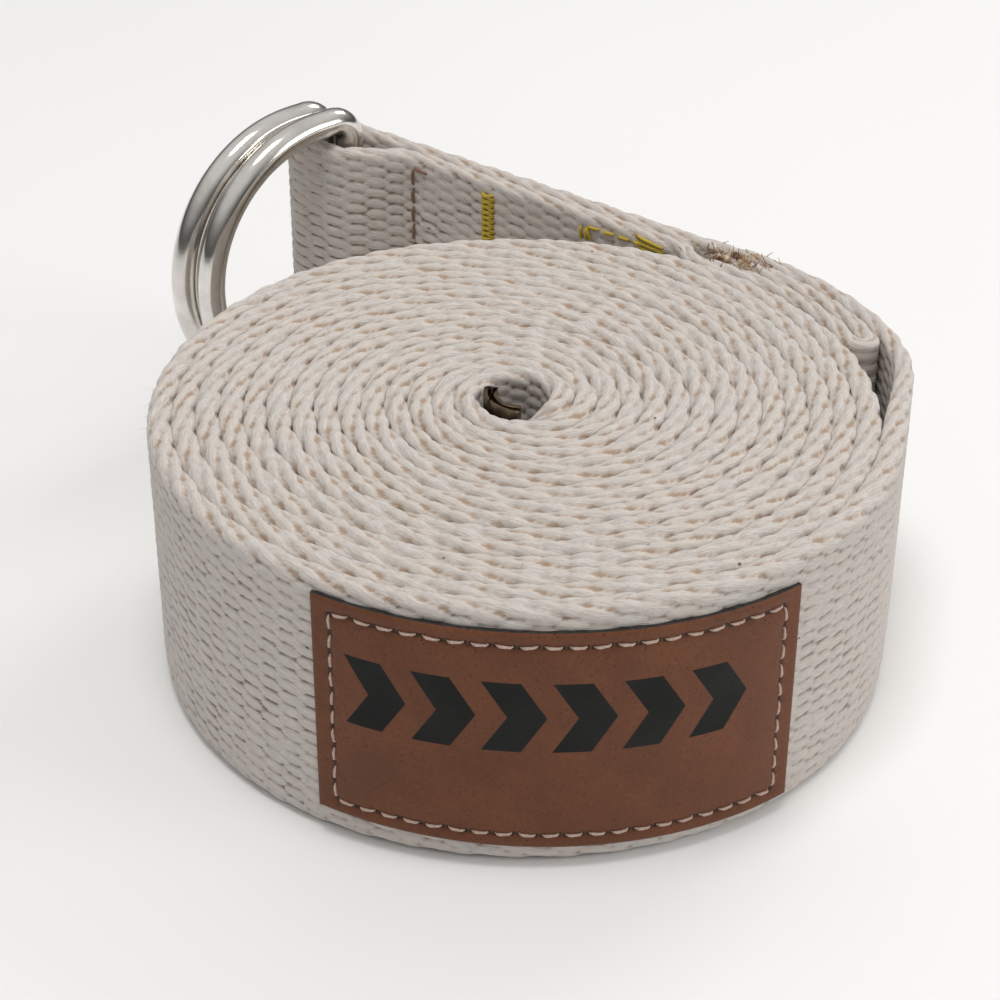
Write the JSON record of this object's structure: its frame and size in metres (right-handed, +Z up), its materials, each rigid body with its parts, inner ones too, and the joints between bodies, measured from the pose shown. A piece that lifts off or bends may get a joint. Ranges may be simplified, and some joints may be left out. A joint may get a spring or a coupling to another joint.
{
  "type": "stretching strap",
  "caption": "Cotton webbing stretching strap rolled on edge, with a pair of D-rings looped into its free end and a sewn leather patch.",
  "frame": {"origin": "on the surface the strap stands on, under the middle of its whole outline", "axes": "+Z up along the roll's axis; +Y from the leather patch towards the rings; +X towards the side where the tail leaves the roll"},
  "size_m": [0.1073, 0.1354, 0.0483],
  "materials": {
    "webbing": "coarse undyed cotton webbing",
    "leather": "brown grained leather with a black painted edge",
    "clamp_metal": "dark antiqued folded sheet",
    "ring_metal": "polished nickel plating",
    "cream_thread": "pale twisted sewing thread",
    "brown_thread": "brown twisted sewing thread",
    "yellow_thread": "bright yellow twisted sewing thread"
  },
  "bodies": {
    "roll": {"webbing_coil": "webbing", "leather_patch": "leather", "end_clamp": "clamp_metal", "patch_needle_thread": "cream_thread", "patch_bobbin_thread": "cream_thread"},
    "tail": {"webbing_tail": "webbing", "tack_needle_thread": "brown_thread", "tack_bobbin_thread": "brown_thread", "bartack_needle_thread": "yellow_thread", "bartack_bobbin_thread": "yellow_thread", "box_needle_thread": "yellow_thread", "box_bobbin_thread": "yellow_thread"},
    "front_ring": {"ring_front": "ring_metal"},
    "back_ring": {"ring_back": "ring_metal"}
  },
  "joints": [
    {"name": "tail_swing", "type": "hinge", "parent": "roll", "child": "tail", "pos_m": [0.04728, -0.028, 0], "axis": [0, 0, -1], "range_deg": [0, 45]},
    {"name": "front_ring_swing", "type": "hinge", "parent": "tail", "child": "front_ring", "pos_m": [-0.02601, 0.05926, 0.02415], "axis": [0, 0, 1], "range_deg": [0, 50]},
    {"name": "back_ring_swing", "type": "hinge", "parent": "tail", "child": "back_ring", "pos_m": [-0.03026, 0.06187, 0.02415], "axis": [0, 0, -1], "range_deg": [0, 180]}
  ]
}
